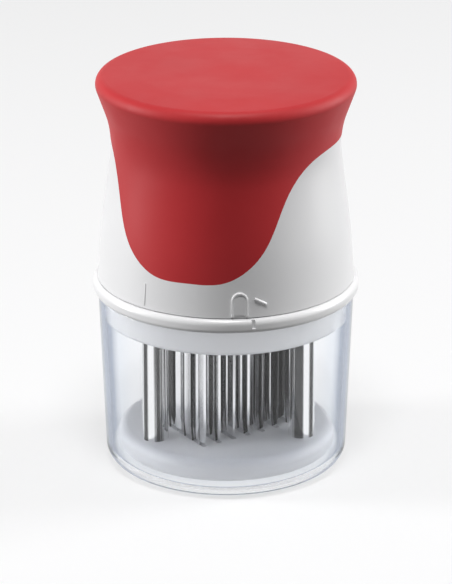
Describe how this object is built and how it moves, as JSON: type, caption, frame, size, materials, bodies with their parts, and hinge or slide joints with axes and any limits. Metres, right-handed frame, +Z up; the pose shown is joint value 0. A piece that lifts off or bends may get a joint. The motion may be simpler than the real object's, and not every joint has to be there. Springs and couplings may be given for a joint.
{
  "type": "blade meat tenderizer",
  "caption": "Hand-held blade meat tenderizer: press-down handle with a twist lock, slender steel blades inside a sprung slotted plate on guide columns, standing in a clear protective cap.",
  "frame": {"origin": "centre of the flat underside of the protective cap", "axes": "+Z up along the tool's axis towards the pad, -Y towards the front tongue of the grip"},
  "size_m": [0.0932, 0.0932, 0.1421],
  "materials": {
    "clear_plastic": "clear, glossy",
    "white_plastic": "satin gloss",
    "inner_plastic": "as moulded",
    "plate_plastic": "fine satin",
    "bush_plastic": "as moulded",
    "red_grip": "soft touch, matt",
    "blade_steel": "ground",
    "column_chrome": "polished",
    "spring_steel": "drawn",
    "screw_steel": "zinc plated"
  },
  "bodies": {
    "cap": {"protective_cap": "clear_plastic"},
    "cartridge": {"bayonet_collar": "white_plastic", "blade_carrier": "inner_plastic", "tower_block": "inner_plastic", "clamp_screws": "screw_steel", "blade_comb_1": "blade_steel", "blade_comb_2": "blade_steel", "blade_comb_3": "blade_steel", "blade_comb_4": "blade_steel", "blade_comb_5": "blade_steel", "blade_comb_6": "blade_steel", "blade_comb_7": "blade_steel", "blade_comb_8": "blade_steel", "guide_bush_left": "bush_plastic", "tower_cap_left": "inner_plastic", "spring_rod_left": "screw_steel", "return_spring_left": "spring_steel", "guide_bush_right": "bush_plastic", "tower_cap_right": "inner_plastic", "spring_rod_right": "screw_steel", "return_spring_right": "spring_steel", "guide_bush_rear": "bush_plastic", "tower_cap_rear": "inner_plastic", "spring_rod_rear": "screw_steel", "return_spring_rear": "spring_steel"},
    "handle": {"housing": "white_plastic", "grip_cover": "red_grip", "pad_core": "inner_plastic", "cover_screws": "screw_steel"},
    "plate": {"pressing_plate": "plate_plastic", "column_screws": "screw_steel", "column_left": "column_chrome", "column_plug_left": "bush_plastic", "stop_ring_left": "spring_steel", "column_right": "column_chrome", "column_plug_right": "bush_plastic", "stop_ring_right": "spring_steel", "column_rear": "column_chrome", "column_plug_rear": "bush_plastic", "stop_ring_rear": "spring_steel"}
  },
  "joints": [
    {"name": "cap_lift", "type": "slide", "parent": "cap", "child": "cartridge", "axis": [0, 0, 1], "range_m": [0, 0.075]},
    {"name": "twist_lock", "type": "hinge", "parent": "cartridge", "child": "handle", "pos_m": [0, 0, 0.0688], "axis": [0, 0, 1], "range_deg": [0, 50]},
    {"name": "plate_press", "type": "slide", "parent": "cartridge", "child": "plate", "axis": [0, 0, 1], "range_m": [0, 0.03], "stiffness_N_per_m": 550, "springref_m": -0.012, "deforming": ["return_spring_left", "return_spring_right", "return_spring_rear"]}
  ]
}
